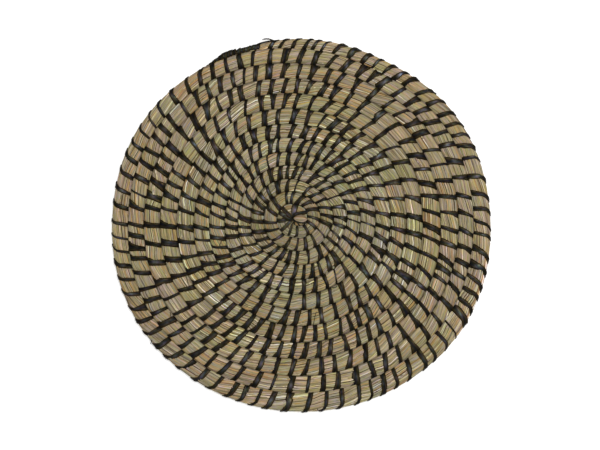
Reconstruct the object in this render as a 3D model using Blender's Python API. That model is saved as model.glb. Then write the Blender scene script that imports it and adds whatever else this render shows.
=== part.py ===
"""A round placemat: one long bundle of seagrass coiled flat, each turn sewn to the turn inside it.

Metres, +Z up. The mat lies on z = 0, and the origin is under the middle of its outline. Seen from above,
the coil starts near the middle and runs anticlockwise, out to a tapered tail at 11 o'clock.
"""

import math
from collections import namedtuple

import bmesh
import bpy

THICKNESS = 0.008  # from crest to crest of a turn
SEAM_DEPTH = 0.0022  # of the groove between two turns, on each face
FULL_WIDTH = 0.012  # a turn narrower than this is thinner too, as at both ends of the coil
RIM_ROUND = 0.0012  # how far the rim's middle stands out past its upper and lower edges
SCALLOP = 0.0008  # how far the rim stands out where a stitch wraps it

# The ridge of a turn, from its outer side inwards: places across the turn's width, as shares of it from the
# inner seam, and heights there, as shares of the groove's depth. The upper face is crowned, and the lower one
# has a flat crest.
Spot = namedtuple("Spot", "across height")
UPPER_RIDGE = (Spot(0.80, 0.72), Spot(0.50, 1.0), Spot(0.20, 0.72))
LOWER_RIDGE = (Spot(0.72, 1.0), Spot(0.28, 1.0))

SECTION_STEP = 0.013  # between two cross-sections of the coil
FEWEST_SECTIONS = 24  # in one turn, on the small turns in the middle
STITCH_SPACING = 0.0142  # along the rim

HOURS = 12  # the seams are measured at the twelve hours of a clock face
COIL_BEGINS = 8 / HOURS  # in turns from 3 o'clock: the coil begins at 7 o'clock
COIL_ENDS = 13 + 4.2 / HOURS  # the tail runs out into the rim just past 11 o'clock
RIM_BEGINS = COIL_ENDS - 1

# How far each seam lies from the coil's start at each hour, in the order in which the coil passes them.
# Seam 1 is the outer edge of the first whole turn. The turns between two rows lie evenly between them.
Seam = namedtuple("Seam", "number at_3 at_2 at_1 at_12 at_11 at_10 at_9 at_8 at_7 at_6 at_5 at_4")
SEAMS = (
    Seam(0, 0, 0, 0, 0, 0, 0, 0, 0, 0, 0.005, 0.009, 0.013),
    Seam(1, 0.014, 0.015, 0.014, 0.014, 0.015, 0.015, 0.016, 0.017, 0.018, 0.019, 0.022, 0.025),
    Seam(3, 0.041, 0.039, 0.037, 0.039, 0.041, 0.042, 0.042, 0.044, 0.044, 0.046, 0.050, 0.051),
    Seam(5, 0.068, 0.065, 0.064, 0.066, 0.068, 0.067, 0.068, 0.072, 0.072, 0.076, 0.079, 0.082),
    Seam(7, 0.098, 0.097, 0.095, 0.094, 0.098, 0.097, 0.099, 0.103, 0.103, 0.108, 0.111, 0.115),
    Seam(9, 0.130, 0.130, 0.125, 0.125, 0.128, 0.130, 0.133, 0.136, 0.138, 0.141, 0.145, 0.152),
    Seam(11, 0.166, 0.162, 0.155, 0.155, 0.160, 0.164, 0.165, 0.171, 0.173, 0.175, 0.180, 0.184),
    Seam(12, 0.181, 0.178, 0.170, 0.170, 0.175, 0.179, 0.181, 0.187, 0.190, 0.194, 0.199, 0.203),
)
Tail = namedtuple("Tail", "at_3 at_2 at_1 at_12 at_11 at_10")
TAIL = Tail(0.198, 0.1935, 0.1825, 0.1795, 0.175, 0.174)  # outer edge of the stretch that tapers into the rim

SHARP_ANGLE = 40  # degrees

SEAGRASS = (0.45, 0.35, 0.20)
SEAGRASS_ROUGHNESS = 0.75


def clear_scene():
    for thing in list(bpy.data.objects):
        bpy.data.objects.remove(thing, do_unlink=True)


def seam_at_hour(hours):
    """Distance of the seam from the coil's start, a whole number of hours along the coil."""
    seam, hour = divmod(max(hours, 0), HOURS)
    if seam > SEAMS[-1].number:
        return TAIL[min(hour, len(TAIL) - 1)]
    inside = max(row for row in SEAMS if row.number <= seam)
    outside = min(row for row in SEAMS if row.number >= seam)
    gap = outside.number - inside.number
    share = (seam - inside.number) / gap if gap else 0
    return (1 - share) * inside[hour + 1] + share * outside[hour + 1]


def seam_radius(turns):
    """Distance of the seam from the coil's start, as a smooth curve through the hours."""
    hour = math.floor(turns * HOURS)
    past = turns * HOURS - hour
    before, here, ahead, beyond = (seam_at_hour(hour + step) for step in (-1, 0, 1, 2))
    slope_here, slope_ahead = (ahead - before) / 2, (beyond - here) / 2
    rise = ahead - here
    return (
        here
        + slope_here * past
        + (3 * rise - 2 * slope_here - slope_ahead) * past**2
        + (slope_here + slope_ahead - 2 * rise) * past**3
    )


def sections():
    """Places of the cross-sections along the coil, in turns, with one exactly where the rim begins.

    Along the rim they lie on the stitches and halfway between them.
    """
    places = [COIL_BEGINS]
    for end, step in ((RIM_BEGINS, SECTION_STEP), (COIL_ENDS, STITCH_SPACING / 2)):
        begin = places[-1]
        run = [begin]
        while run[-1] < end:
            around = 2 * math.pi * seam_radius(run[-1])
            run.append(run[-1] + 1 / max(FEWEST_SECTIONS, around / step))
        fit = (end - begin) / (run[-1] - begin)
        places += [begin + (place - begin) * fit for place in run[1:-1]]
        places.append(end)
    return places


def rim_radii(places):
    """Radius of the rim's middle at each place along it: it stands out at every stitch."""
    along_rim = places[places.index(RIM_BEGINS) : -1]
    return {turns: seam_radius(turns) + SCALLOP * (count % 2) for count, turns in enumerate(along_rim)}


def point(turns, radius, height):
    angle = 2 * math.pi * turns
    return (radius * math.cos(angle), radius * math.sin(angle), height)


def add_face(mesh, corners):
    """A face through the corners, leaving out the ones that fall together where the coil is pointed."""
    unique = list(dict.fromkeys(corners))
    if len(unique) > 2:
        mesh.faces.new(unique)


def bridge(mesh, inner, outer):
    """Triangles between two lines of (turns, vertex), which need not have the same number of points."""
    near, far = 0, 0
    while near < len(inner) - 1 or far < len(outer) - 1:
        inner_next = inner[near + 1][0] if near < len(inner) - 1 else math.inf
        outer_next = outer[far + 1][0] if far < len(outer) - 1 else math.inf
        corners = [inner[near][1], outer[far][1]]
        if outer_next <= inner_next:
            far += 1
            corners.append(outer[far][1])
        else:
            near += 1
            corners.append(inner[near][1])
        add_face(mesh, corners)


def ridged_face(mesh, places, seam_height, crest_height, ridge):
    """One face of the mat, with a groove along every seam and a ridge along every turn.

    Returns the seam's vertices.
    """
    rim = rim_radii(places)
    start = mesh.verts.new((0, 0, seam_height))
    seam, *ridge_lines = lines = [[start] for _ in range(1 + len(ridge))]
    for turns in places[1:-1]:
        outside = seam_radius(turns)
        inside = seam_radius(turns - 1) if turns - 1 > COIL_BEGINS else 0
        width = outside - inside
        climb = (crest_height - seam_height) * min(1, width / FULL_WIDTH)
        edge = rim[turns] - RIM_ROUND if turns in rim else outside
        seam.append(mesh.verts.new(point(turns, edge, seam_height)))
        for line, spot in zip(ridge_lines, ridge):
            radius = inside + spot.across * width
            line.append(mesh.verts.new(point(turns, radius, seam_height + spot.height * climb)))
    tail_tip = seam[places.index(RIM_BEGINS)]
    for line in lines:
        line.append(tail_tip)

    for outer, inner in zip(lines, ridge_lines):
        for first in range(len(places) - 1):
            second = first + 1
            add_face(mesh, (inner[first], outer[first], outer[second], inner[second]))
    turn_inside = [(turns + 1, vertex) for turns, vertex in zip(places, seam) if turns <= RIM_BEGINS]
    bridge(mesh, turn_inside, list(zip(places, lines[-1])))
    return seam


def round_rim(mesh, places, upper, lower):
    """The edge round the outermost turn, from the upper face's last seam down to the lower one's."""
    start = places.index(RIM_BEGINS)
    half_way = THICKNESS / 2
    middle = [mesh.verts.new(point(turns, radius, half_way)) for turns, radius in rim_radii(places).items()]
    middle.append(middle[0])
    for low, high in ((lower[start:], middle), (middle, upper[start:])):
        for first in range(len(middle) - 1):
            second = first + 1
            add_face(mesh, (low[first], low[second], high[second], high[first]))


def coil_mesh():
    """The whole coil as one closed mesh, with the coil's start at its origin."""
    places = sections()
    mesh = bmesh.new()
    lower = ridged_face(mesh, places, SEAM_DEPTH, 0, LOWER_RIDGE)
    bmesh.ops.reverse_faces(mesh, faces=mesh.faces)
    upper = ridged_face(mesh, places, THICKNESS - SEAM_DEPTH, THICKNESS, UPPER_RIDGE)
    round_rim(mesh, places, upper, lower)
    data = bpy.data.meshes.new("coil")
    mesh.to_mesh(data)
    mesh.free()
    data.shade_smooth()
    data.set_sharp_from_angle(angle=math.radians(SHARP_ANGLE))
    return data


def seagrass_material():
    material = bpy.data.materials.new("seagrass")
    material.use_nodes = True
    surface = material.node_tree.nodes["Principled BSDF"]
    surface.inputs["Base Color"].default_value = (*SEAGRASS, 1)
    surface.inputs["Roughness"].default_value = SEAGRASS_ROUGHNESS
    surface.inputs["Metallic"].default_value = 0
    return material


def middle_of(values):
    return (min(values) + max(values)) / 2


def add_coil():
    data = coil_mesh()
    data.materials.append(seagrass_material())
    coil = bpy.data.objects.new("coil", data)
    across = middle_of([vertex.co.x for vertex in data.vertices])
    along = middle_of([vertex.co.y for vertex in data.vertices])
    coil.location = (-across, -along, 0)
    bpy.context.collection.objects.link(coil)


clear_scene()
add_coil()
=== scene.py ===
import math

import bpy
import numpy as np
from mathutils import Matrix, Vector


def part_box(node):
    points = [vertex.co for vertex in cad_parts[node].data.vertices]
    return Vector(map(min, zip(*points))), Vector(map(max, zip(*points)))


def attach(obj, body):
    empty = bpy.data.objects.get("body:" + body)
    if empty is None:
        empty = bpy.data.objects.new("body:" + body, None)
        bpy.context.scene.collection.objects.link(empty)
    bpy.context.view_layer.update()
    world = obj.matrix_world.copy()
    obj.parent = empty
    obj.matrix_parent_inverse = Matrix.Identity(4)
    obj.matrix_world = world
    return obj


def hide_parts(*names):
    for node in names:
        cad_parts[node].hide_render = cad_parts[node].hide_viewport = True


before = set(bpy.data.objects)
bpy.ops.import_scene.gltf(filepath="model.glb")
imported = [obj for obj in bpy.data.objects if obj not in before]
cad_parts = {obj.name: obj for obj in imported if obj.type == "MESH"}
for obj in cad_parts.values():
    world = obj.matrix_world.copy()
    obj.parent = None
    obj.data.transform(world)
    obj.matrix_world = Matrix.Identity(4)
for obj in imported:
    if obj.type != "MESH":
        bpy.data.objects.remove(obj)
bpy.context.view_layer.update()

# A round placemat: one long bundle of seagrass, coiled flat and sewn with strips of black-dyed grass.
# Metres, +Z up. Places along the coil are in turns, anticlockwise from 3 o'clock; places round the
# bundle are shares of its edge, from 0 at its outer side over the top to 0.5 at its inner side.

draw = np.random.default_rng(29)


# The coil

coil = {
    "thickness": 0.008,  # from crest to crest
    "thinEnd": 0.0024,  # thickness where the bundle runs out
    "fullWidth": 0.012,  # a narrower turn is thinner too
    "leastWidth": 0.0004,
    "leastHalf": 0.0002,  # of the section that an inset leaves
    "squareness": 2.6,  # of the bundle's section: 2 is an ellipse
    "aspect": 2.0,  # width of that section to its height
    "press": 0.0004,  # how far two turns press into each other
    "begins": 8 / 12,
    "ends": 13 + 4.2 / 12,
    "rimBegins": 12.331,  # from here on no other turn lies outside
    "rimBlend": 0.02,  # turns over which the bundle's outer side comes free
}

# How far each seam lies from the coil's start at 3, 2, 1, 12, 11, 10, 9, 8, 7, 6, 5 and 4 o'clock
seams = {
    0: (0, 0, 0, 0, 0, 0, 0, 0, 0, 0.005, 0.009, 0.013),
    1: (0.014, 0.015, 0.014, 0.014, 0.015, 0.015, 0.016, 0.017, 0.018, 0.019, 0.022, 0.025),
    3: (0.041, 0.039, 0.037, 0.039, 0.041, 0.042, 0.042, 0.044, 0.044, 0.046, 0.050, 0.051),
    5: (0.068, 0.065, 0.064, 0.066, 0.068, 0.067, 0.068, 0.072, 0.072, 0.076, 0.079, 0.082),
    7: (0.098, 0.097, 0.095, 0.094, 0.098, 0.097, 0.099, 0.103, 0.103, 0.108, 0.111, 0.115),
    9: (0.130, 0.130, 0.125, 0.125, 0.128, 0.130, 0.133, 0.136, 0.138, 0.141, 0.145, 0.152),
    11: (0.166, 0.162, 0.155, 0.155, 0.160, 0.164, 0.165, 0.171, 0.173, 0.175, 0.180, 0.184),
    12: (0.181, 0.178, 0.170, 0.170, 0.175, 0.179, 0.181, 0.187, 0.190, 0.194, 0.199, 0.203),
}
tailSeam = (0.198, 0.1935, 0.1825, 0.1795, 0.175, 0.174)  # the last stretch, at 3 to 10 o'clock


def seamAtHour(hours):
    seam, hour = divmod(max(hours, 0), 12)
    if seam > max(seams):
        return tailSeam[min(hour, len(tailSeam) - 1)]
    inside = max(number for number in seams if number <= seam)
    outside = min(number for number in seams if number >= seam)
    share = (seam - inside) / (outside - inside) if outside > inside else 0
    return (1 - share) * seams[inside][hour] + share * seams[outside][hour]


hourlySeam = np.array([seamAtHour(hour) for hour in range(-1, math.ceil(coil["ends"] * 12) + 3)])


def curve(before, here, ahead, beyond, past):
    # a smooth line through four values, at a share of the way from the second one to the third
    slopeHere, slopeAhead, rise = (ahead - before) / 2, (beyond - here) / 2, ahead - here
    begun = here + slopeHere * past + (3 * rise - 2 * slopeHere - slopeAhead) * past**2
    return begun + (slopeHere + slopeAhead - 2 * rise) * past**3


def seamRadius(turns):
    hours = np.asarray(turns, float) * 12
    hour = np.clip(np.floor(hours).astype(int), 0, len(hourlySeam) - 4)
    return curve(*(hourlySeam[hour + step] for step in range(4)), hours - hour)


def smoothStep(value):
    value = np.clip(value, 0, 1)
    return value * value * (3 - 2 * value)


def insideRadius(turns):
    return np.where(turns - 1 > coil["begins"], seamRadius(turns - 1), 0)


def middleRadius(turns):
    return (seamRadius(turns) + insideRadius(turns)) / 2


def onRim(turns):
    # 1 where the bundle's outer side is free
    return smoothStep((turns - coil["rimBegins"]) / coil["rimBlend"])


def coilStart():
    # the middle of the coil's outline is at the middle of its CAD node
    rim = np.linspace(coil["ends"] - 1, coil["ends"], 721)  # every half a degree
    low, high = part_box("coil")
    outline = (seamRadius(rim) * np.cos(2 * np.pi * rim), seamRadius(rim) * np.sin(2 * np.pi * rim))
    return [(low[axis] + high[axis] - line.min() - line.max()) / 2 for axis, line in enumerate(outline)]


startX, startY = coilStart()


# Shape of the bundle's section, with evenly spaced places round its edge

roundAngles = np.linspace(0, 2 * np.pi, 4001)
edgeAcross = np.sign(np.cos(roundAngles)) * np.abs(np.cos(roundAngles)) ** (2 / coil["squareness"])
edgeUp = np.sign(np.sin(roundAngles)) * np.abs(np.sin(roundAngles)) ** (2 / coil["squareness"])
edgeSteps = np.hypot(np.diff(edgeAcross) * coil["aspect"], np.diff(edgeUp))
edgeShare = np.concatenate([[0], np.cumsum(edgeSteps)])
edgeLength = edgeShare[-1] / (1 + coil["aspect"])  # for each metre of half width and half height
edgeShare /= edgeShare[-1]


def sectionAt(share):
    share = np.mod(share, 1)
    return np.interp(share, edgeShare, edgeAcross), np.interp(share, edgeShare, edgeUp)


def bundleHalves(turns):
    # how far the bundle reaches from its middle: outwards, inwards, and up or down
    width = np.maximum(seamRadius(turns) - insideRadius(turns), coil["leastWidth"])
    full = np.minimum(1, width / coil["fullWidth"])
    high = (coil["thinEnd"] + (coil["thickness"] - coil["thinEnd"]) * full) / 2
    outer = width / 2 + coil["press"] * (1 - onRim(turns))
    return outer, width / 2 + coil["press"], high


def edgeAround(turns):
    outer, inner, high = bundleHalves(turns)
    return edgeLength * ((outer + inner) / 2 + high)


def slimness(turns, least):
    # 1 where the bundle has its full thickness
    return np.clip(bundleHalves(turns)[2] / (coil["thickness"] / 2), least, 1)


def onBundle(turns, share, sideInset, topInset):
    # a place on the bundle's section: its point, the way out of the bundle and the way round its edge
    across, up = sectionAt(share)
    outer, inner, high = bundleHalves(turns)
    wide = np.maximum(np.where(across > 0, outer, inner) - sideInset, coil["leastHalf"])
    high = np.maximum(high - topInset, coil["leastHalf"])
    radius = np.maximum(middleRadius(turns) + across * wide, 0)
    height = coil["thickness"] / 2 + up * high
    power = coil["squareness"] - 1
    outward = np.sign(across) * np.abs(across) ** power / wide
    upward = np.sign(up) * np.abs(up) ** power / high
    length = np.hypot(outward, upward)
    outward, upward = outward / length, upward / length
    cosine, sine = np.cos(2 * np.pi * turns), np.sin(2 * np.pi * turns)
    point = np.stack([startX + radius * cosine, startY + radius * sine, height], axis=-1)
    normal = np.stack([outward * cosine, outward * sine, upward], axis=-1)
    edgeway = np.stack([-upward * cosine, -upward * sine, outward], axis=-1)
    return point, normal, edgeway


gridTurns = np.linspace(coil["begins"], coil["ends"], 14001)
gridMiddle = middleRadius(gridTurns)
gridSteps = np.hypot(np.diff(gridTurns) * 2 * np.pi * gridMiddle[1:], np.diff(gridMiddle))
gridLength = np.concatenate([[0], np.cumsum(gridSteps)])
print(f"coil: {gridLength[-1]:.2f} m long")


def waver(places, spacing, strength):
    knots = np.arange(0, places.max() + 2 * spacing, spacing)
    return strength * np.interp(places, knots, draw.normal(size=len(knots)))


def atRadius(rows, radius):
    # rows holds a few numbers for each of some distances from the coil's start
    return [np.interp(radius, list(rows), column) for column in zip(*rows.values())]


# The sewing: one strip that goes over the bundle from its outer side to its inner one, and back under it

sewing = {
    "unevenness": 0.06,
    "unevenLength": 0.11,  # along the coil
    "closerAt": 0.245,  # in turns, where the stitches stand closer on all turns
    "closerLength": 0.05,
    "closer": 0.06,
    "inLine": 0.65,  # how nearly a stitch keeps in line with the one on the turn inside
    "nextStitch": (0.7, 1.4),  # spacings ahead at which that one leads to the next stitch
    "secondStitch": 2.3,  # and up to which it leads to the one after
    "stepSpread": 0.04,
    "clearBefore": 0.006,  # turns left free before the last stitches that are placed by hand
    "leastRadius": 0.010,  # a length counts as no more turns than it is at this radius
    "radiatingUntil": 1.75,  # in turns: up to here the stitches point at the middle
    "radiatingLean": 0.3,  # for 1 elsewhere
    "lean": (0.0047, 0.0015),  # how far the inner end lies ahead of the outer one, and its spread
    "leastLean": 0.001,
    "mostLean": 0.32,  # half of it, as a share of the room between two stitches
    "sideRun": (0.0009, 0.0005),  # how far the strip runs along the seam as it comes up
    "leastSideRun": 0.0002,
    "rimRun": 0.0038,  # and how much farther along the rim
    "rimRunSpread": (0.5, 1.4),
    "mostSideRun": (0.22, 0.16),  # share of the room between two stitches, and what the rim adds to it
    "runBegins": 0.45,  # from the bundle's middle outwards, as a share of its half width
    "widthSpread": 0.0010,
    "leastWidth": 0.0015,
    "mostWidth": (0.6, 0.85),  # shares of the spacing, on the crest and at the seams
    "wedge": 0.17,
    "mostWedge": 0.6,
    "flareSpread": (0.85, 1.15),
    "innerFlare": 0.84,  # for a flare of 1 at the outer seam
    "rimNarrower": 0.35,  # how much narrower the outer end is where it turns along the rim
    "flareShape": 1.15,  # 1 is a wedge with straight sides
    "underWidth": 0.0034,
    "pinch": 0.00085,  # how deep a stitch presses the top of the bundle
    "sidePinch": 0.00025,
    "rimProud": 0.0004,  # how far the strip stands off the grass at the rim
}

# the close stitches over the tail
whipping = {
    "begins": 13.2812,
    "tipClear": 0.004,  # turns left free at the tip of the tail
    "spacing": 0.0040,
    "spacingSpread": (0.8, 1.2),
    "width": 0.0052,
    "widthSpread": (0.7, 1.15),
    "fullWidth": 0.0012,  # the strip is narrower where the tail is narrower than this
    "leastWidth": 0.1,  # as a share of its width
    "lean": 0.0032,
    "leanSpread": (0.3, 0.7),
    "heap": 0.0032,  # at its thickest
    "thickest": 13.3115,
    "heapLength": 0.0115,  # turns to each side
    "heapSlope": 0.8,  # share of the bundle's half width over which the heap rises
    "innerSide": 0.3,  # how far inwards from the bundle's middle its inner side begins
    "clear": 0.0010,  # how far it keeps off the turn inside
}

# place, in turns, and width of the stitches on the first two turns
firstStitches = {
    0.700: 0.0012, 0.800: 0.0012, 0.875: 0.0013, 0.945: 0.0016, 1.070: 0.0026, 1.228: 0.0064, 1.389: 0.0042,
    1.452: 0.0046, 1.541: 0.0046, 1.641: 0.0036, 1.722: 0.0028, 1.802: 0.0030, 1.890: 0.0028, 1.950: 0.0034,
    2.003: 0.0028, 2.069: 0.0038, 2.130: 0.0036, 2.194: 0.0046, 2.258: 0.0030, 2.300: 0.0026, 2.389: 0.0044,
    2.453: 0.0040, 2.533: 0.0029, 2.586: 0.0027, 2.650: 0.0029, 2.720: 0.0036,
}

# and of the last ones before the close whipping, which are nearer each other than the others on the rim
lastStitches = {
    13.2083: 0.0044, 13.2203: 0.0028, 13.2286: 0.0036, 13.2363: 0.0036, 13.2476: 0.0040, 13.2589: 0.0035,
    13.2681: 0.0040,
}

# distance from the coil's start: spacing and width of the stitches there, how far they stand clockwise
# of the stitches on the turn inside, and their width at the outer seam for a width of 1 on the crest
stitchRows = {
    0.034: (0.0090, 0.0034, 0.0040, 1.35),
    0.047: (0.0095, 0.0035, 0.0030, 1.35),
    0.060: (0.0104, 0.0037, 0.0026, 1.35),
    0.074: (0.0116, 0.0041, 0.0022, 1.4),
    0.088: (0.0128, 0.0043, 0.0018, 1.4),
    0.103: (0.0126, 0.0044, 0.0014, 1.4),
    0.117: (0.0134, 0.0045, 0.0012, 1.35),
    0.133: (0.0144, 0.0048, 0.0010, 1.25),
    0.149: (0.0147, 0.0048, 0.0008, 1.2),
    0.180: (0.0147, 0.0051, 0.0005, 1.2),
}


def stepAhead(ahead):
    # how many spacings to go on, from where the stitches on the turn inside lead to
    least, most = sewing["nextStitch"]
    near = [share for share in ahead if least < share < most]
    later = [share for share in ahead if most <= share < sewing["secondStitch"]]
    if near:
        return min(near, key=lambda share: abs(share - 1))
    return min(later) / 2 if later else 1


def placeStitches():
    # a stitch follows one on the turn inside, a little clockwise of it, which makes the sweeping arms
    uneven = waver(gridLength, sewing["unevenLength"], 1)
    places = list(firstStitches)
    while places[-1] < whipping["begins"]:
        here = places[-1]
        radius = float(middleRadius(here))
        perTurn = 2 * math.pi * radius
        spacing, _, shift, _ = atRadius(stitchRows, radius)
        offPeak = (here - sewing["closerAt"] + 0.5) % 1 - 0.5
        spacing *= 1 - sewing["closer"] * math.exp(-((offPeak / sewing["closerLength"]) ** 2))
        spacing *= 1 + sewing["unevenness"] * np.interp(here, gridTurns, uneven)
        step = stepAhead([(place + 1 - here) * perTurn / spacing - shift / spacing for place in places])
        step = 1 + sewing["inLine"] * (step - 1) + draw.normal(0, sewing["stepSpread"])
        places.append(here + step * spacing / perTurn)
    nearEnd = min(lastStitches) - sewing["clearBefore"]
    places = [place for place in places if place < nearEnd]
    places += [*lastStitches, whipping["begins"]]
    while places[-1] < coil["ends"] - whipping["tipClear"]:
        perTurn = 2 * math.pi * float(middleRadius(places[-1]))
        places.append(places[-1] + whipping["spacing"] * draw.uniform(*whipping["spacingSpread"]) / perTurn)
    return np.array(places)


stitches = placeStitches()
stitchCount = len(stitches)
inWhipping = stitches >= whipping["begins"]
radiating = stitches < sewing["radiatingUntil"]


def leansAndRuns():
    # half of each stitch's lean, and its run along the seam, both in turns
    perTurn = 2 * np.pi * np.maximum(middleRadius(stitches), sewing["leastRadius"])
    room = np.diff(stitches, append=stitches[-1] + stitches[-1] - stitches[-2])
    room = np.minimum(room, np.roll(room, 1))
    halfLean = np.maximum(draw.normal(*sewing["lean"], stitchCount), sewing["leastLean"]) / 2 / perTurn
    halfLean[radiating] *= sewing["radiatingLean"]
    halfLean = np.minimum(halfLean, sewing["mostLean"] * room)
    whippingLean = whipping["lean"] * draw.uniform(*whipping["leanSpread"], inWhipping.sum())
    halfLean[inWhipping] = whippingLean / perTurn[inWhipping]
    sideRun = np.maximum(draw.normal(*sewing["sideRun"], stitchCount), sewing["leastSideRun"])
    rimRun = sewing["rimRun"] * onRim(stitches) * draw.uniform(*sewing["rimRunSpread"], stitchCount)
    most, moreOnRim = sewing["mostSideRun"]
    sideRun = np.minimum((sideRun + rimRun) / perTurn, (most + moreOnRim * onRim(stitches)) * room)
    sideRun[inWhipping | radiating] = 0
    return halfLean, sideRun


def stitchWidths():
    # of each stitch on the crest, at its outer seam and at its inner one
    spacingThere, widthThere, _, flareThere = atRadius(stitchRows, middleRadius(stitches))
    mostOnCrest, mostAtSeam = sewing["mostWidth"]
    middle = draw.normal(widthThere, sewing["widthSpread"])
    middle = np.clip(middle, sewing["leastWidth"], mostOnCrest * spacingThere)
    middle[:len(firstStitches)] = list(firstStitches.values())
    middle[np.isin(stitches, list(lastStitches))] = list(lastStitches.values())
    middle[inWhipping] = whipping["width"] * draw.uniform(*whipping["widthSpread"], inWhipping.sum())
    tailWidth = (seamRadius(stitches) - insideRadius(stitches))[inWhipping]
    middle[inWhipping] *= np.clip(tailWidth / whipping["fullWidth"], whipping["leastWidth"], 1)
    wedge = draw.normal(0, sewing["wedge"], stitchCount)
    wedge = np.clip(wedge, -sewing["mostWedge"], sewing["mostWedge"])
    outer = middle * (1 + wedge) * flareThere * draw.uniform(*sewing["flareSpread"], stitchCount)
    inner = middle * (1 - wedge) * flareThere * draw.uniform(*sewing["flareSpread"], stitchCount)
    inner *= sewing["innerFlare"]
    for width in (outer, inner):
        width[inWhipping | radiating] = middle[inWhipping | radiating]
        np.minimum(width, mostAtSeam * spacingThere, out=width, where=~radiating)
    outer *= 1 - sewing["rimNarrower"] * onRim(stitches) * ~inWhipping
    return middle, outer, inner


# places along one lap of the strip, closer where it bends over the bundle's shoulders
lapShares = np.array([
    0, 0.03, 0.06, 0.085, 0.11, 0.15, 0.20, 0.25, 0.30, 0.35, 0.39, 0.415, 0.44, 0.47,
    0.50, 0.55, 0.61, 0.70, 0.81, 0.89, 0.95,
])
lapAcross, _ = sectionAt(lapShares)
onTop = lapShares < 0.5
laps = (np.arange(stitchCount - 1)[:, None] + lapShares).ravel()


def layLaps():
    # where along the coil each place of each lap lies, and the strip's width there
    halfLean, sideRun = leansAndRuns()
    middle, outer, inner = stitchWidths()
    bend = np.clip((lapAcross - sewing["runBegins"]) / (1 - sewing["runBegins"]), 0, 1) ** 2
    topTurns = stitches[:-1, None] - halfLean[:-1, None] * lapAcross - sideRun[:-1, None] * bend
    goesUnder = stitches[:-1] + halfLean[:-1]
    comesUp = stitches[1:] - halfLean[1:] - sideRun[1:]
    underTurns = ((comesUp + goesUnder) / 2)[:, None] + ((comesUp - goesUnder) / 2)[:, None] * lapAcross
    turns = np.where(onTop, topTurns, underTurns).ravel()
    turns = np.maximum.accumulate(turns + 1e-7 * np.arange(turns.size))  # always onwards
    side = np.abs(lapAcross) ** sewing["flareShape"]
    topWidths = middle[:-1, None] * (1 - side)
    topWidths = topWidths + np.where(lapAcross > 0, outer[:-1, None], inner[:-1, None]) * side
    underWidths = sewing["underWidth"] * (1 - side)
    underWidths = underWidths + np.where(lapAcross > 0, outer[1:, None], inner[:-1, None]) * side
    return turns, np.where(onTop, topWidths, underWidths).ravel()


lapTurns, lapWidths = layLaps()
print(f"sewing: {stitchCount} stitches")


# Mesh of many long bands: each has rings of points along it and closed ends

# the map for baking: all bands of a piece lie end to end on one tape, which is folded into rows
tape = {
    "gap": 0.002,  # between two bands
    "fill": 0.8,  # share of a row's height that a band may cover
    "lastSide": 0.0004,  # height of a band's last side
    "endSize": 0.0003,  # of the spot that the closed ends of all bands share
    "margin": 0.001,
}
grainStep, grainRange = 0.37, 97  # each band begins elsewhere in the fibres
triangles = {}


def lengthAlong(points):
    return np.concatenate([[0], np.cumsum(np.linalg.norm(np.diff(points, axis=0), axis=1))])


def lengthAround(rings):
    sideLengths = np.linalg.norm(np.diff(rings, axis=1), axis=-1)
    return np.concatenate([np.zeros((len(rings), 1)), np.cumsum(sideLengths, axis=1)], axis=1)


def bandFaces(first, count, sides):
    here = first + np.arange(count - 1)[:, None] * sides + np.arange(sides)
    nextSide = np.roll(here, -1, axis=1)
    return np.stack([here, here + sides, nextSide + sides, nextSide], axis=-1).reshape(-1, 4)


def tapeCorners(places, around, rowLength, rowHeight):
    row = np.floor(places[:-1] / rowLength)[:, None] * np.ones(around.shape[1])
    begin = places[:-1, None] - row * rowLength
    end = places[1:, None] - row * rowLength
    low = np.minimum(around[:-1], rowHeight * tape["fill"])
    high = np.append(low[:, 1:], low[:, -1:] + tape["lastSide"], axis=1)
    corners = [
        np.stack([across, row * rowHeight + up], axis=-1)
        for across, up in ((begin, low), (end, low), (end, high), (begin, high))
    ]
    return np.stack(corners, axis=2).reshape(-1, 2)


def setLayer(mesh, name, kind, field, values):
    layer = mesh.attributes.new(name, kind, "POINT")
    layer.data.foreach_set(field, values.astype(np.float32).ravel())


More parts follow.
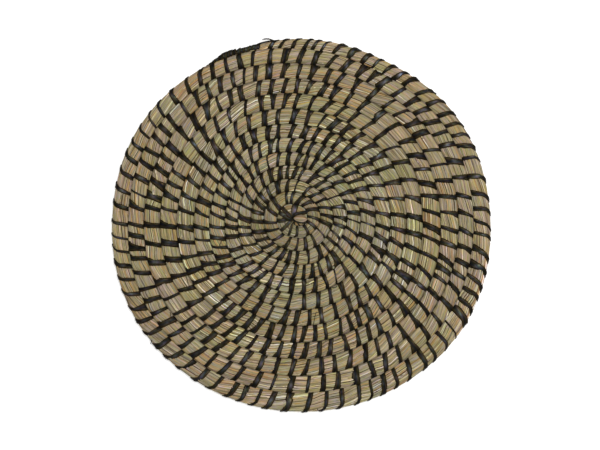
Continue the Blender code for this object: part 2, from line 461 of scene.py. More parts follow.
def addBands(name, bands, material, rowHeight):
    # bands is a list of rings and tints, one pair for each band
    points, quads, caps, tints, grains, corners = [], [], [], [], [], []
    first, travelled = 0, 0.0
    alongs = [lengthAlong(rings.mean(axis=1)) for rings, _ in bands]
    rowLength = math.sqrt(sum(along[-1] for along in alongs) * rowHeight)
    for number, (rings, tint) in enumerate(bands):
        along, around = alongs[number], lengthAround(rings)
        count, sides, _ = rings.shape
        last = first + (count - 1) * sides
        points.append(rings.reshape(-1, 3))
        quads.append(bandFaces(first, count, sides))
        caps += [first + np.arange(sides), last + np.arange(sides)[::-1]]
        begins = np.full(count * sides, grainStep * number % grainRange)
        grains.append(np.stack([np.repeat(along, sides), around.ravel(), begins], axis=-1))
        tints.append(np.broadcast_to(tint, (count, sides, 3)).reshape(-1, 3))
        places = travelled + along
        travelled = places[-1] + tape["gap"]
        corners.append(tapeCorners(places, around, rowLength, rowHeight))
        first += count * sides
    quads, caps = np.concatenate(quads), np.array(caps)
    loops = np.concatenate([quads.ravel(), caps.ravel()])
    starts = np.concatenate([np.arange(len(quads)) * 4, len(quads) * 4 + np.arange(len(caps)) * sides])
    mesh = bpy.data.meshes.new(name)
    mesh.vertices.add(first)
    mesh.vertices.foreach_set("co", np.concatenate(points).astype(np.float32).ravel())
    mesh.loops.add(len(loops))
    mesh.loops.foreach_set("vertex_index", loops.astype(np.int32))
    mesh.polygons.add(len(starts))
    mesh.polygons.foreach_set("loop_start", starts.astype(np.int32))
    mesh.update(calc_edges=True)
    opaque = np.ones((first, 1))
    setLayer(mesh, "tint", "FLOAT_COLOR", "color", np.concatenate([np.concatenate(tints), opaque], axis=1))
    setLayer(mesh, "grain", "FLOAT_VECTOR", "vector", np.concatenate(grains))
    baking = mesh.uv_layers.new(name="OFBake")
    corners = np.concatenate(corners)
    circle = np.stack([np.cos(np.arange(sides)), np.sin(np.arange(sides))], axis=-1)
    ends = corners[-1] + tape["endSize"] * np.tile(circle, (len(caps), 1))
    corners = np.concatenate([corners, ends]) / (corners.max(axis=0) + tape["margin"])
    baking.data.foreach_set("uv", corners.astype(np.float32).ravel())
    mesh.shade_smooth()
    mesh.materials.append(material)
    piece = bpy.data.objects.new(name, mesh)
    bpy.context.collection.objects.link(piece)
    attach(piece, "root")
    triangles[name] = len(quads) * 2 + len(caps) * (sides - 2)
    print(f"{name}: {triangles[name]} triangles, {sum(triangles.values())} so far")
    return piece


# Finishes

def linear(rgb):
    values = np.asarray(rgb, float) / 255
    return np.where(values <= 0.04045, values / 12.92, ((values + 0.055) / 1.055) ** 2.4)


fibreHeight = 0.0002
fibreRange = (0.25, 0.75)  # of the noise, between the darkest and the palest fibres
hueRange = (0.3, 0.7)


def fibreFinish(name, settings):
    # fine fibres along each band lighten and darken its own tint, and stand up a little
    material = bpy.data.materials.new(name)
    material.use_nodes = True
    nodes, links = material.node_tree.nodes, material.node_tree.links
    shader = nodes["Principled BSDF"]
    tint = nodes.new("ShaderNodeAttribute")
    tint.attribute_name = "tint"
    grain = nodes.new("ShaderNodeAttribute")
    grain.attribute_name = "grain"

    def fibres(scale, detail):
        stretch = nodes.new("ShaderNodeMapping")
        stretch.inputs["Scale"].default_value = scale
        links.new(grain.outputs["Vector"], stretch.inputs["Vector"])
        noise = nodes.new("ShaderNodeTexNoise")
        noise.inputs["Scale"].default_value = 1
        noise.inputs["Detail"].default_value = detail
        links.new(stretch.outputs["Vector"], noise.inputs["Vector"])
        return noise

    def remap(source, low, high):
        span = nodes.new("ShaderNodeMapRange")
        span.inputs["From Min"].default_value, span.inputs["From Max"].default_value = fibreRange
        span.inputs["To Min"].default_value = low
        span.inputs["To Max"].default_value = high
        links.new(source, span.inputs["Value"])
        return span.outputs["Result"]

    def tone(colour, factor):
        scale = nodes.new("ShaderNodeVectorMath")
        scale.operation = "SCALE"
        links.new(colour, scale.inputs[0])
        links.new(factor, scale.inputs["Scale"])
        return scale.outputs["Vector"]

    def hues(colour, spread):
        # red, green and blue vary a little apart from each other
        span = nodes.new("ShaderNodeMapRange")
        span.data_type = "FLOAT_VECTOR"
        ranges = (*hueRange, 1 - np.array(spread), 1 + np.array(spread))
        for socket, value in zip(span.inputs[7:11], ranges):  # the range it comes from, and the one it gets
            socket.default_value = value * np.ones(3)
        links.new(fibres(settings["hueScale"], 1).outputs["Color"], span.inputs["Vector"])
        blend = nodes.new("ShaderNodeVectorMath")
        blend.operation = "MULTIPLY"
        links.new(colour, blend.inputs[0])
        links.new(span.outputs["Vector"], blend.inputs[1])
        return blend.outputs["Vector"]

    fine = fibres(settings["fineScale"], 3).outputs["Fac"]
    patches = fibres(settings["patchScale"], 2).outputs["Fac"]
    own = hues(tint.outputs["Color"], settings["hueSpread"])
    colour = tone(tone(own, remap(fine, *settings["fineTone"])), remap(patches, *settings["patchTone"]))
    links.new(colour, shader.inputs["Base Color"])
    sheen = patches if settings["colouredSheen"] else fine
    links.new(remap(sheen, *settings["roughness"]), shader.inputs["Roughness"])
    links.new(remap(sheen, *settings["specular"]), shader.inputs["Specular IOR Level"])
    if settings["colouredSheen"]:
        brighter = nodes.new("ShaderNodeVectorMath")
        brighter.operation = "SCALE"
        brighter.inputs["Scale"].default_value = settings["colouredSheen"]
        links.new(own, brighter.inputs[0])
        links.new(brighter.outputs["Vector"], shader.inputs["Specular Tint"])
    bump = nodes.new("ShaderNodeBump")
    bump.inputs["Strength"].default_value = settings["bump"]
    bump.inputs["Distance"].default_value = fibreHeight
    links.new(fine, bump.inputs["Height"])
    links.new(bump.outputs["Normal"], shader.inputs["Normal"])
    return material


grassFinish = fibreFinish("seagrass", {
    "specular": (0.34, 0.34), "bump": 0.35, "roughness": (0.78, 0.50), "colouredSheen": 0,
    "fineScale": (60, 1700, 1), "fineTone": (0.58, 1.41),
    "patchScale": (45, 250, 1), "patchTone": (0.84, 1.14),
    "hueScale": (160, 420, 1), "hueSpread": (0.10, 0.03, 0.34),
})
blackFinish = fibreFinish("blackStrip", {
    "specular": (0.15, 0.6), "bump": 0.8, "roughness": (0.7, 0.3), "colouredSheen": 66,
    "fineScale": (90, 1500, 1), "fineTone": (0.5, 1.6),
    "patchScale": (170, 330, 1), "patchTone": (0.65, 1.35),
    "hueScale": (200, 420, 1), "hueSpread": (0.16, 0.12, 0.40),
})
coreFinish = fibreFinish("paintedShadeCore", {
    "specular": (0.2, 0.2), "bump": 0.5, "roughness": (0.9, 0.8), "colouredSheen": 0,
    "fineScale": (60, 1800, 1), "fineTone": (0.6, 1.2),
    "patchScale": (40, 200, 1), "patchTone": (0.7, 1.1),
    "hueScale": (90, 700, 1), "hueSpread": (0.03, 0.02, 0.08),
})


# The grass: blades laid round the bundle, each from one stitch to another a few stitches on

grass = {
    "lines": 36,  # of blades, side by side round the bundle
    "finerAbove": 0.22,  # how much closer they lie on its upper side
    "lineWaver": (0.045, 0.003),  # over what length, and by what share of the bundle's edge
    "halfHeight": 0.00050,
    "leastSlim": 0.4,
    "fill": 0.66,  # half width of a blade, as a share of the room between two lines
    "section": (1.2, 1.25),  # makes up in height and width for what a blade's four corners cut off
    "girth": (0.86, 1.14),
    "slant": 8.5,  # degrees, of the blades on top towards the coil's inner side
    "slantSpread": 5,
    "slantLength": 0.07,
    "blockSlant": 4.2,  # what all the blades between two stitches lean more or less, together
    "blockTone": (0.03, 0.018, 0.07),  # and how their red, green and blue differ
    "blockShape": (-0.8, -0.5, 0.5, 0.8),  # the four rings of a blade there, from the middle of it
    "blade": (1, 7),  # stitches from one end of a blade to the other, at least, and fewer than
    "tip": 0.45,  # girth of its first and last ring
    "tipSink": 0.0005,
    "lift": 0.00008,
    "light": ("cream", "paleHighlight"),  # blades of these colours are narrower and lie higher than the others
    "lightGirth": 0.8,
    "lightLift": 0.00012,
    "stray": 0.00030,  # how far a blade lies to the side in each space between stitches
    "ringStray": 0.002,  # and each of its rings, as a share of the bundle's edge
    "uneven": 0.00012,
    "toneSpread": 0.122,
    "shadeWaver": (0.02, 0.05),  # over how many turns, and how much paler or darker
    "endMargin": 0.01,  # laps of the strip, at both ends of the coil
    "leastRadius": 0.005,  # a length counts as no more turns than it is at this radius
    "clear": 0.0003,  # how far outside a stitch a blade begins to rise
    "mostClear": 0.4,  # share of the room between two stitches
    "pillow": 0.0024,  # length over which a blade rises from under a stitch
    "mostPillow": 0.32,  # share of the room that is left
    "risen": 0.86,  # how far it rises, for 1 all the way
    "pressed": 1.15,  # how deep it lies under the stitch, for 1 as deep as the strip
    "seamPaintedShade": 0.46,  # painted shade: how much darker the blades are in the seams between turns
    "seamBegins": 0.8,  # from the bundle's middle, as a share of its half width
    "seamBlend": 0.2,
    # its red, green and blue by distance from the start: darker and greener towards the middle
    "tones": {
        0.010: (0.72, 0.77, 0.75),
        0.035: (0.81, 0.86, 0.85),
        0.065: (0.95, 1.03, 1.07),
        0.100: (0.93, 0.99, 1.00),
        0.125: (0.96, 0.98, 0.95),
        0.160: (0.99, 1.00, 1.03),
    },
    "pieces": ("grassHeart", "grassInner", "grassMiddle", "grassOuter", "grassRim"),
    "pieceEnds": (5.4, 7.95, 10.1, 11.85, 14),  # in turns
    "mapRow": 0.0052,  # height of a row in the map for baking
}

# colour of a blade, as it shows in daylight, and how many of a hundred have it
bladeColours = {
    "straw": ((163, 147, 114), 38),
    "olive": ((156, 144, 104), 17),
    "pinkTan": ((166, 145, 119), 18),
    "orangeTan": ((172, 139, 92), 11),
    "brown": ((128, 110, 82), 7),
    "cream": ((202, 188, 154), 6),
    # painted highlight: blades paler than any straw, standing in for the glints on glossy strands
    "paleHighlight": ((230, 218, 190), 1.2),
}

# the blades between two stitches lean and are coloured a little alike
blockSlant = np.radians(draw.normal(0, grass["blockSlant"], stitchCount + 2))
blockTone = 1 + draw.normal(0, 1, (stitchCount + 2, 3)) * grass["blockTone"]

gridSlant = np.radians(grass["slant"] + waver(gridLength, grass["slantLength"], grass["slantSpread"]))
gridDrift = np.tan(gridSlant[1:]) * gridSteps / edgeAround(gridTurns)[1:]
drift = np.concatenate([[0], np.cumsum(gridDrift)])
gridLaps = np.interp(gridTurns, lapTurns, laps)
perStitch = len(grass["blockShape"])


def closeness(share):
    # room between two lines of blades there, as a share of the room they have on average
    return 1 - grass["finerAbove"] * np.sin(2 * np.pi * share)


def bladeRun(number):
    # rings along one line of blades: at each side of every stitch, and where they have risen beside it
    share = number / grass["lines"] + drift + waver(gridLength, *grass["lineWaver"])
    share = share + grass["finerAbove"] * np.cos(2 * np.pi * share) / (2 * np.pi)
    passed = gridLaps - share  # laps of the strip that the line has gone under
    firstLap = math.ceil(passed[0] + grass["endMargin"])
    lastLap = math.floor(passed[-1] - grass["endMargin"])
    crossings = np.arange(firstLap, lastLap + 1)
    passed = np.maximum.accumulate(passed + 1e-9 * np.arange(gridTurns.size))  # always onwards
    crossed = np.interp(crossings, passed, gridTurns)
    crossedShare = np.interp(crossed, gridTurns, share)
    crossedLap = crossings + crossedShare
    stitchWidth = np.interp(crossedLap, laps, lapWidths)
    across, _ = sectionAt(crossedShare)
    radius = middleRadius(crossed) + across * bundleHalves(crossed)[0]
    perTurn = 2 * np.pi * np.maximum(radius, grass["leastRadius"])
    gap = np.diff(crossed) * (perTurn[1:] + perTurn[:-1]) / 2
    edge = stitchWidth / 2 + grass["clear"]
    before = np.minimum(edge[:-1], grass["mostClear"] * gap)
    after = np.minimum(edge[1:], grass["mostClear"] * gap)
    rise = np.minimum(grass["pillow"], grass["mostPillow"] * (gap - before - after))
    left, right = crossed[:-1], crossed[1:]
    turns = np.stack([
        left + before / perTurn[:-1],
        left + (before + rise) / perTurn[:-1],
        right - (after + rise) / perTurn[1:],
        right - after / perTurn[1:],
    ], axis=1)
    eased = 1 - grass["risen"] * np.clip(rise / grass["pillow"], 0, 1)
    pressed = np.full(len(rise), grass["pressed"])
    pinched = np.stack([pressed, eased, eased, pressed], axis=1)
    block = np.floor(crossedLap[:-1]).astype(int)
    slant = np.tan(blockSlant[block]) * gap / 2
    stray = draw.normal(0, grass["stray"], len(rise))
    aside = stray[:, None] + slant[:, None] * np.array(grass["blockShape"])
    places = np.interp(turns, gridTurns, share) + aside / edgeAround(left)[:, None]
    return turns.ravel(), pinched.ravel(), places.ravel(), np.repeat(block, perStitch)


def bladeLine(number):
    # what each ring along one line of blades needs: its place, size and tone
    turns, pinched, places, block = bladeRun(number)
    places = places + draw.normal(0, grass["ringStray"], len(turns))
    across, _ = sectionAt(places)
    # painted shade: blades darker towards the seams between turns, where real shade falls, but not on the
    # rim
    inSeam = smoothStep((np.abs(across) - grass["seamBegins"]) / grass["seamBlend"]) * (1 - onRim(turns))
    shading = 1 - grass["seamPaintedShade"] * inSeam
    toneThere = np.stack(atRadius(grass["tones"], middleRadius(turns)), axis=-1)
    return {
        "turns": turns,
        "pinched": pinched,
        "places": places,
        "tone": blockTone[block] * toneThere * shading[:, None],
        "spacing": edgeAround(turns) / grass["lines"] * closeness(places),
        "slim": slimness(turns, grass["leastSlim"]),
        "uneven": draw.normal(0, grass["uneven"], len(turns)) * (1 - pinched),
    }


def bladeRings(turns, share, pinched, halfWidth, halfHeight, lift):
    side = halfHeight + sewing["sidePinch"] * pinched - lift
    top = halfHeight + sewing["pinch"] * pinched - lift
    point, normal, edgeway = onBundle(turns, share, side, top)
    tall, wide = grass["section"]
    rings = []
    for corner in (225, 315, 45, 135):
        angle = math.radians(corner)
        upward = normal * (math.cos(angle) * halfHeight[:, None] * tall)
        sideways = edgeway * (math.sin(angle) * halfWidth[:, None] * wide)
        rings.append(point + upward + sideways)
    return np.stack(rings, axis=1)


def pickTint():
    chances = np.array([chance for _, chance in bladeColours.values()], float)
    name = draw.choice(list(bladeColours), p=chances / chances.sum())
    return name, linear(bladeColours[name][0]) * draw.normal(1, grass["toneSpread"])


def growBlade(line, pick):
    name, tint = pickTint()
    light = name in grass["light"]
    lift = draw.normal(0, grass["lift"]) + (grass["lightLift"] if light else 0)
    girth = draw.uniform(*grass["girth"]) * (grass["lightGirth"] if light else 1)
    taper = np.ones(len(pick))
    taper[0] = taper[-1] = grass["tip"]
    halfWidth = grass["fill"] * line["spacing"][pick] * girth * taper
    halfHeight = grass["halfHeight"] * line["slim"][pick] * taper
    lift = lift + line["uneven"][pick] - np.where(taper < 1, grass["tipSink"], 0)
    turns = line["turns"][pick]
    rings = bladeRings(turns, line["places"][pick], line["pinched"][pick], halfWidth, halfHeight, lift)
    shade = 1 + waver(turns - turns[0], *grass["shadeWaver"])
    return rings, (tint * shade[:, None] * line["tone"][pick])[:, None]


def growGrass():
    blades = [[] for _ in grass["pieces"]]
    for number in range(grass["lines"]):
        line = bladeLine(number)
        count = len(line["turns"])
        begin = 0
        while begin < count - perStitch:
            stitchesPassed = int(draw.integers(*grass["blade"]))
            end = min(begin + perStitch * stitchesPassed, count)
            if count - end <= perStitch:
                end = count
            pick = np.arange(max(begin - 1, 0), min(end + 1, count))
            piece = np.searchsorted(grass["pieceEnds"], line["turns"][begin])
            blades[piece].append(growBlade(line, pick))
            begin = end
    return blades


grassPieces = [
    addBands(name, blades, grassFinish, grass["mapRow"])
    for name, blades in zip(grass["pieces"], growGrass())
]


# The core, painted darker than the blades as the shade inside the bundle, which shows between the blades

core = {
    "sideInset": 0.0002,
    "topInset": 0.0017,
    "leastSlim": 0.3,
    "sides": 8,
    "step": 0.008,
    "fineUntil": 2,  # in turns: up to here the rings are closer
    "fineRings": 50,
    # painted shade: darker than the blades, for the shade inside the bundle
    "colour": (100, 82, 56),
    "mapRow": 0.034,
}


def layCore():
    count = int(gridLength[-1] / core["step"])
    turns = np.interp(np.linspace(0, gridLength[-1], count), gridLength, gridTurns)
    inner = np.linspace(coil["begins"], core["fineUntil"], core["fineRings"])
    turns = np.unique(np.concatenate([inner, turns[turns > core["fineUntil"]]]))
    slim = slimness(turns, core["leastSlim"])
    sideInset, topInset = core["sideInset"] * slim, core["topInset"] * slim
    shares = -np.arange(core["sides"]) / core["sides"]
    rings = [onBundle(turns, share, sideInset, topInset)[0] for share in shares]
    bands = [(np.stack(rings, axis=1), linear(core["colour"]))]
    return addBands("coilCore", bands, coreFinish, core["mapRow"])


coilCore = layCore()


# The black strip

strip = {
    "thickness": 0.00042,
    # across its width, up, and how much paler it is there, from its own wear and a painted sheen
    "profile": (
        (-0.8, -0.3, 0),
        (-1, 0.1, 0),
        (-0.6, 0.85, 0.25),
        (-0.15, 0.75, 0.9),
        (0.25, 1, 1),
        (0.65, 0.78, 0.3),
        (1, 0.1, 0),
        (0.8, -0.3, 0),
    ),
    "ripple": 0.14,  # how much the strip twists to and fro along its way
    "rippleLength": 0.006,
    "leastSlim": 0.5,
    "rimSide": 0.6,  # share of the bundle's half width over which it comes off the grass at the rim
    "heap": (-0.0001, 0.00012),  # how much lower or higher each lap lies
    "firstTurns": 2,
    "firstHeap": 2.5,  # times as much on the first turns and on the tail
    "mostHeap": (0.0012, 0.0001),  # above the bundle and below it
    "tints": (
        (13.5, 12.6, 10.6),
        (13.9, 12.5, 11.3),
        (12.8, 12.8, 11.3),
        (13.0, 12.5, 12.1),
        (13.6, 12.8, 10.4),
    ),
    "brightness": (0.76, 1.34),
    "edgeHue": (2.65, 1.96, 0.80),  # red, green and blue of its edges, for 1 in the tint
    "middleHue": (0.70, 0.78, 0.94),
    "glint": (0.2, 5.6),  # painted highlight: how much paler its middle is on the crest, least and most; seldom much
    "glintPlace": 0.1,  # from the bundle's middle outwards, as a share of its half width
    "glintLength": 0.36,
    "middleTones": {0.012: 1.55, 0.032: 1.3, 0.07: 1.12, 0.12: 1.08},  # paler towards the mat's middle
    "pieces": ("sewingInner", "sewingOuter"),
    "mapRow": 0.011,
}


def unit(vectors):
    return vectors / np.linalg.norm(vectors, axis=1)[:, None]


def stripRings(points, normals, widths, thickness):
    direction = unit(np.gradient(points, axis=0))
    across = unit(np.cross(normals, direction))
    upward = np.cross(direction, across)
    rings = [
        points + across * (widths / 2 * wide)[:, None] + upward * (thickness * tall)[:, None]
        for wide, tall, _ in strip["profile"]
    ]
    return np.stack(rings, axis=1)


def stripHues(glint):
    # it is paler along its middle, from its own wear and a painted sheen, and the glint adds a painted
    # highlight
    wearAndSheen = np.array([[wearAndSheen] for _, _, wearAndSheen in strip["profile"]])
    return (1 - wearAndSheen) * strip["edgeHue"] + wearAndSheen * strip["middleHue"] * (1 + glint)


def paleness(radius):
    tones = strip["middleTones"]
    return np.interp(radius, list(tones), list(tones.values()))[:, None, None]


def windStrip():
    # it stands off at the rim, and lies in heaps on the first turns and on the tail
    across, _ = sectionAt(laps)
    slim = slimness(lapTurns, strip["leastSlim"])
    outward = smoothStep(across / strip["rimSide"]) * onRim(lapTurns)
    side = sewing["sidePinch"] - (sewing["sidePinch"] + sewing["rimProud"]) * outward
    onTail = lapTurns > whipping["begins"]
    heap = np.repeat(draw.uniform(*strip["heap"], stitchCount - 1), len(lapShares))
    heap[(lapTurns < strip["firstTurns"]) | onTail] *= strip["firstHeap"]
    thickest = np.exp(-(((lapTurns - whipping["thickest"]) / whipping["heapLength"]) ** 2))
    slope = smoothStep((across + whipping["innerSide"]) / whipping["heapSlope"])
    heap += whipping["heap"] * thickest * slope
    side = side + whipping["clear"] * onTail * (across < -whipping["innerSide"])
    raised = np.minimum(heap, np.where(np.tile(onTop, stitchCount - 1), *strip["mostHeap"]))
    points, normals, _ = onBundle(lapTurns, laps, side - heap, sewing["pinch"] * slim - raised)
    onward = unit(np.gradient(points, axis=0))
    twist = waver(lengthAlong(points), strip["rippleLength"], strip["ripple"])
    normals = normals + np.cross(onward, normals) * twist[:, None]
    return stripRings(points, normals, lapWidths, strip["thickness"] * slim)


def stripTints():
    # one tint for each lap, with a painted highlight, the glint, on the crest
    perLap = draw.integers(0, len(strip["tints"]), stitchCount - 1)
    brightness = draw.uniform(*strip["brightness"], stitchCount - 1)
    tints = linear(np.array(strip["tints"])[perLap]) * brightness[:, None]
    onCrest = np.exp(-(((lapAcross - strip["glintPlace"]) / strip["glintLength"]) ** 2)) * onTop
    least, most = strip["glint"]
    strength = least + (most - least) * draw.uniform(0, 1, (stitchCount - 1, 1)) ** 2
    glint = (strength * onCrest).reshape(-1, 1, 1)
    tints = np.repeat(tints, len(lapShares), axis=0)[:, None]
    return tints * stripHues(glint) * paleness(middleRadius(lapTurns))


def sewStrip():
    rings, tints = windStrip(), stripTints()
    half = len(lapShares) * (stitchCount // 2)
    parts = (slice(0, half + 1), slice(half, len(laps)))
    return [
        addBands(name, [(rings[part], tints[part])], blackFinish, strip["mapRow"])
        for name, part in zip(strip["pieces"], parts)
    ]


sewingPieces = sewStrip()


# The tuft of grass that the coil starts with, and the loose ends of the strip

tuft = {
    "tip": (0.0008, -0.0002),  # from the coil's start
    "root": (0.0147, -0.0014),
    "halfWidth": 0.0039,
    "outline": 0.75,  # 1 is the arch of a sine, and less is blunter
    "height": 0.0079,
    "dome": 0.0007,
    "endDrop": 1.1,  # how far both its ends lie lower, for 1 as much as the dome
    "blades": 11,
    "rings": 14,
    "bladeHalf": (0.00012, 0.00048),  # half width at a blade's ends, and what its middle has more
    "bladeHeight": 0.0004,
    "section": ((0, -1), (1, 0), (0.5, 0.8), (-0.5, 0.8), (-1, 0)),
    "stray": 0.0001,
    "lift": 0.00008,
    "colours": ("orangeTan", "orangeTan", "brown", "pinkTan"),
    "tone": (0.80, 0.19),
    "paintedEdgeTone": 0.5,  # painted shade: tone of its outermost blades, for 1 in its middle
}

looseShape = {
    "ringsPerPlace": 5,
    "taper": {0: 1, 0.8: 0.9, 1: 0.35},  # share of the width at a share of the length
    "plump": 0.7,  # thickness for a half width of 1
    "tint": 3,  # which of the strip's tints
    # painted highlight on the loose ends, as on the strip's crest
    "glint": 0.5,
    "mapRow": 0.004,
}

# width of each loose end, and its places: degrees, distance from the coil's start, rise above the mat
looseEnds = {
    "tailCurl": (0.0015, ((95.8, 0.1778, 0.0006), (96.6, 0.1793, 0.0018), (97.7, 0.1808, 0.0026),
                          (98.8, 0.1813, 0.0028), (99.8, 0.1812, 0.0030))),
    "tailEdge": (0.0016, ((96.4, 0.1785, 0.0006), (98.2, 0.1786, 0.0008), (100.2, 0.1781, 0.0008),
                          (101.9, 0.1775, 0.0006))),
    "aboveTuft": (0.0036, ((60.0, 0.0036, 0.0004), (38.0, 0.0078, 0.0006), (27.0, 0.0124, 0.0006),
                           (22.6, 0.0172, 0.0004))),
    "byTuft": (0.0036, ((166.0, 0.0095, 0.0008), (178.0, 0.0062, 0.0009), (205.0, 0.0032, 0.0009),
                        (250.0, 0.0022, 0.0006))),
    "belowTuft": (0.0018, ((300.0, 0.0026, 0.0006), (322.0, 0.0066, 0.0003), (333.0, 0.0104, 0.0003),
                           (339.0, 0.0146, 0.0004))),
    "crossing": (0.0005, ((195.0, 0.0700, 0.0007), (196.1, 0.0719, 0.0008), (198.2, 0.0750, 0.0005),
                          (200.4, 0.0781, 0.0009), (201.2, 0.0795, 0.0007))),
    "hook": (0.0007, ((237.4, 0.0838, 0.0005), (238.6, 0.0818, 0.0004), (240.0, 0.0803, 0.0005),
                      (241.5, 0.0802, 0.0011), (241.4, 0.0826, 0.0012), (241.2, 0.0858, 0.0007))),
    "sliver": (0.0006, ((257.6, 0.0770, 0.0006), (257.2, 0.0785, 0.0003), (256.1, 0.0825, 0.0003),
                        (255.0, 0.0865, 0.0004))),
    "inSeam": (0.0006, ((207.6, 0.1212, 0.0008), (210.6, 0.1224, 0.0014), (213.4, 0.1247, 0.0006))),
    "arch": (0.0006, ((217.6, 0.1545, 0.0006), (219.2, 0.1568, 0.0012), (221.2, 0.1572, 0.0014),
                      (222.8, 0.1556, 0.0008))),
    "fork": (0.0006, ((280.8, 0.1090, 0.0008), (281.9, 0.1045, 0.0005), (283.0, 0.1000, 0.0005),
                      (284.2, 0.0965, 0.0006))),
    "stub": (0.0007, ((299.4, 0.0800, 0.0010), (301.6, 0.0813, 0.0014), (303.6, 0.0808, 0.0009))),
    "lowerRim": (0.0010, ((220.9, 0.1862, 0.0004), (221.2, 0.1884, 0.0006), (221.6, 0.1906, 0.0005))),
    "lowerRimPoint": (0.0009, ((226.5, 0.1876, 0.0004), (227.0, 0.1892, 0.0004), (227.3, 0.1902, 0.0002))),
    "bottomRim": (0.0009, ((277.3, 0.1930, 0.0004), (278.0, 0.1950, 0.0005), (278.7, 0.1963, 0.0002))),
}


def smoothLine(places, count):
    # a curve through the places, which all have the same number of columns
    places = np.asarray(places, float)
    here = np.linspace(0, len(places) - 1, count)
    first = np.minimum(here.astype(int), len(places) - 2)
    beforeFirst = 2 * places[:1] - places[1:2]
    afterLast = 2 * places[-1:] - places[-2:-1]
    padded = np.concatenate([beforeFirst, places, afterLast])
    return curve(*(padded[first + step] for step in range(4)), (here - first)[:, None])


def topHeight(degrees, radius):
    # of the bundle's upper side there; half way up where there is no bundle
    turns = degrees / 360 + np.arange(math.ceil(coil["ends"]))
    turns = turns[(turns > coil["begins"]) & (turns < coil["ends"])]
    turns = turns[min(np.searchsorted(seamRadius(turns), radius), len(turns) - 1)]
    outer, inner, high = bundleHalves(turns)
    across = min(abs(radius - middleRadius(turns)) / max(outer, inner), 1)
    return coil["thickness"] / 2 + high * (1 - across ** coil["squareness"]) ** (1 / coil["squareness"])


def layTuft():
    shares = np.linspace(0, 1, tuft["rings"])
    swell = np.sin(np.pi * shares)
    tip, root = np.array(tuft["tip"]), np.array(tuft["root"])
    direction = (root - tip) / np.linalg.norm(root - tip)
    sideways = np.array([-direction[1], direction[0], 0])
    endHalf, moreInMiddle = tuft["bladeHalf"]
    halfWidth = moreInMiddle * swell**0.5 + endHalf
    blades = []
    for side in np.linspace(-1, 1, tuft["blades"]):
        offset = side * tuft["halfWidth"] * swell ** tuft["outline"] + draw.normal(0, tuft["stray"])
        flat = tip + (root - tip) * shares[:, None] + sideways[:2] * offset[:, None] + (startX, startY)
        arch = (1 - side**2) * swell - tuft["endDrop"] * (1 - swell)
        height = tuft["height"] + tuft["dome"] * arch + draw.normal(0, tuft["lift"])
        points = np.column_stack([flat, height])
        rings = [
            points + halfWidth[:, None] * wide * sideways + (0, 0, tuft["bladeHeight"] * tall)
            for wide, tall in tuft["section"]
        ]
        tint = linear(bladeColours[draw.choice(tuft["colours"])][0]) * draw.normal(*tuft["tone"])
        # painted shade: its outer blades darker, as the sides of the tuft's dome lie in shade
        tint = tint * (1 - (1 - tuft["paintedEdgeTone"]) * abs(side) ** 3)
        blades.append((np.stack(rings, axis=1), tint))
    return addBands("firstTuft", blades, grassFinish, grass["mapRow"])


def layLooseEnds():
    ends = []
    taper = looseShape["taper"]
    for width, places in looseEnds.values():
        degrees, radius, rise = smoothLine(places, looseShape["ringsPerPlace"] * len(places)).T
        angle = np.radians(degrees)
        x, y = startX + radius * np.cos(angle), startY + radius * np.sin(angle)
        height = np.array([topHeight(*place) for place in zip(degrees, radius)]) + rise
        slender = np.interp(np.linspace(0, 1, len(height)), list(taper), list(taper.values()))
        upward = np.tile((0.0, 0.0, 1.0), (len(height), 1))
        thickness = looseShape["plump"] * width / 2 * slender
        rings = stripRings(np.column_stack([x, y, height]), upward, width * slender, thickness)
        tint = linear(strip["tints"][looseShape["tint"]]) * stripHues(looseShape["glint"])
        ends.append((rings, tint * paleness(radius)))
    return addBands("looseEnds", ends, blackFinish, looseShape["mapRow"])


firstTuft = layTuft()
loosePiece = layLooseEnds()

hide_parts("coil")


# Floor, light and camera

studio = {
    "floorSize": 6,
    "floorHeight": -0.0003,
    "floorRoughness": 0.8,
    "floorGlow": 0.35,
    "mottleScale": 3,
    "mottle": (0.88, 0.92),
    "world": 0.42,
    "keySize": 1.2,
    "keyPlace": (0.45, 0.5, 2.5),
    "keyPower": 47,
    "lens": 100,
    "cameraPlace": (-0.0013, 0.0003),
    "photoWidth": 0.6,  # metres across the view, at the mat's top
}


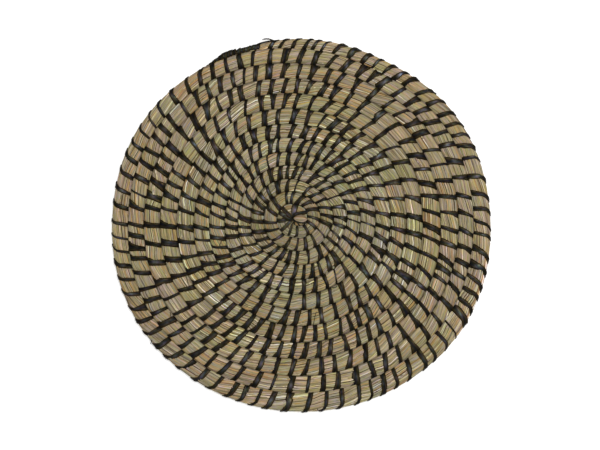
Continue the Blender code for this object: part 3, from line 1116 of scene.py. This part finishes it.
def addFloor():
    half, height = studio["floorSize"] / 2, studio["floorHeight"]
    corners = [(x * half, y * half, height) for x, y in ((-1, -1), (1, -1), (1, 1), (-1, 1))]
    mesh = bpy.data.meshes.new("floor")
    mesh.from_pydata(corners, [], [(0, 1, 2, 3)])
    material = bpy.data.materials.new("paleFloor")
    material.use_nodes = True
    nodes, links = material.node_tree.nodes, material.node_tree.links
    shader = nodes["Principled BSDF"]
    shader.inputs["Roughness"].default_value = studio["floorRoughness"]
    shader.inputs["Emission Strength"].default_value = studio["floorGlow"]
    shader.inputs["Emission Color"].default_value = (1, 1, 1, 1)
    mottle = nodes.new("ShaderNodeTexNoise")
    mottle.inputs["Scale"].default_value = studio["mottleScale"]
    span = nodes.new("ShaderNodeMapRange")
    span.inputs["To Min"].default_value, span.inputs["To Max"].default_value = studio["mottle"]
    links.new(mottle.outputs["Fac"], span.inputs["Value"])
    links.new(span.outputs["Result"], shader.inputs["Base Color"])
    mesh.materials.append(material)
    floor = bpy.data.objects.new("floor", mesh)
    bpy.context.collection.objects.link(floor)


def addLight():
    world = bpy.data.worlds.new("softWhite")
    bpy.context.scene.world = world
    world.use_nodes = True
    background = world.node_tree.nodes["Background"]
    background.inputs["Color"].default_value = (1, 1, 1, 1)
    background.inputs["Strength"].default_value = studio["world"]
    light = bpy.data.lights.new("key", "AREA")
    light.size = studio["keySize"]
    light.energy = studio["keyPower"]
    key = bpy.data.objects.new("key", light)
    key.location = studio["keyPlace"]
    x, y, z = studio["keyPlace"]
    key.rotation_euler = (-math.atan2(y, z), math.atan2(x, z), 0)
    bpy.context.collection.objects.link(key)


def addCamera():
    data = bpy.data.cameras.new("camera")
    data.lens = studio["lens"]
    camera = bpy.data.objects.new("camera", data)
    height = studio["photoWidth"] * data.lens / data.sensor_width
    camera.location = (*studio["cameraPlace"], coil["thickness"] + height)
    bpy.context.collection.objects.link(camera)
    bpy.context.scene.camera = camera


addFloor()
addLight()
addCamera()
bpy.context.scene.view_settings.view_transform = "Standard"
print("studio: ready")
